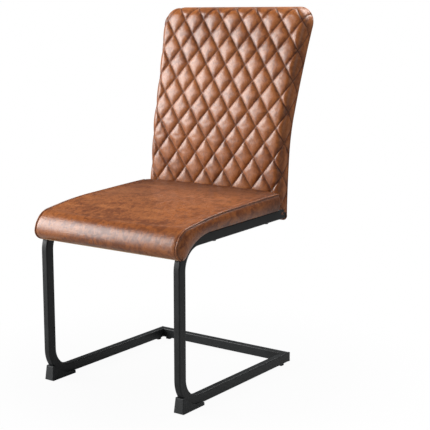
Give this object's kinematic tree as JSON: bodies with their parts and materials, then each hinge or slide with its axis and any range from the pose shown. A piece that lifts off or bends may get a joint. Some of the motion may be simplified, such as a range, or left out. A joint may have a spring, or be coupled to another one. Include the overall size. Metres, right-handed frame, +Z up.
{
  "type": "dining chair",
  "caption": "Cantilever dining chair: bent black steel tube frame, padded seat with a waterfall front, and a leaning tan leather back quilted in diamonds.",
  "frame": {"origin": "on the floor, under the middle of the chair's box", "axes": "+Z up, -Y the way the sitter faces, +X to the sitter's left"},
  "size_m": [0.4616, 0.58, 0.931],
  "materials": {
    "frame_steel": "satin black powder coat",
    "glide_plastic": "moulded, fine texture",
    "cover_leather": "mottled tan, soft sheen",
    "edge_leather": "darker tan, soft sheen",
    "board_ply": "raw moulded ply",
    "filling": "open-cell foam and wadding",
    "dust_cloth": "black non-woven cloth",
    "zinc_steel": "zinc plated"
  },
  "bodies": {
    "root": {"back_board": "board_ply", "back_foam": "filling", "back_front_cover": "cover_leather", "back_lower_bar": "frame_steel", "back_piping": "edge_leather", "back_rear_cover": "cover_leather", "back_screws": "zinc_steel", "back_top_bar": "frame_steel", "back_wadding": "filling", "floor_bar_left_glide": "glide_plastic", "floor_bar_right_glide": "glide_plastic", "front_cross_bar": "frame_steel", "front_left_glide": "glide_plastic", "front_right_glide": "glide_plastic", "left_back_upright": "frame_steel", "left_seat_side_panel": "cover_leather", "left_seat_welt": "edge_leather", "left_side_tube": "frame_steel", "rear_cross_bar": "frame_steel", "rear_floor_bar": "frame_steel", "rear_left_glide": "glide_plastic", "rear_right_glide": "glide_plastic", "right_back_upright": "frame_steel", "right_seat_side_panel": "cover_leather", "right_seat_welt": "edge_leather", "right_side_tube": "frame_steel", "seat_board": "board_ply", "seat_bolts": "zinc_steel", "seat_dust_cover": "dust_cloth", "seat_foam": "filling", "seat_tee_nuts": "zinc_steel", "seat_top_cover": "cover_leather"}
  },
  "joints": []
}
